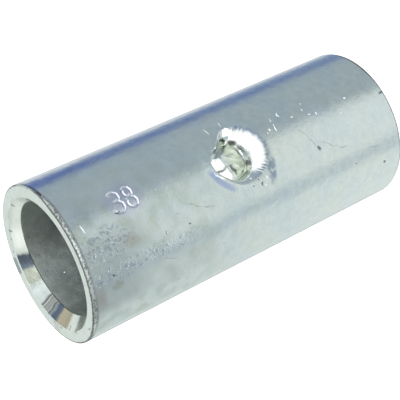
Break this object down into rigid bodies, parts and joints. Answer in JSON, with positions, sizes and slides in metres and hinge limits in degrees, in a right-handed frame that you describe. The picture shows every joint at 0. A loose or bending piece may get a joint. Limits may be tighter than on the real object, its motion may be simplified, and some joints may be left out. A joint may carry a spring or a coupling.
{
  "type": "butt splice connector",
  "caption": "Thick-walled tinned tube with countersunk ends and a punched dimple at half length, for joining conductors end to end by crimping.",
  "frame": {"origin": "middle of the lower end of the barrel, on the surface that it stands on", "axes": "+Z along the barrel's axis, up; -Y through the middle of the dimple"},
  "size_m": [0.0132, 0.0132, 0.0315],
  "materials": {
    "tinned_copper": "satin electro-tinned copper"
  },
  "bodies": {
    "root": {"splice_barrel": "tinned_copper"}
  },
  "joints": []
}
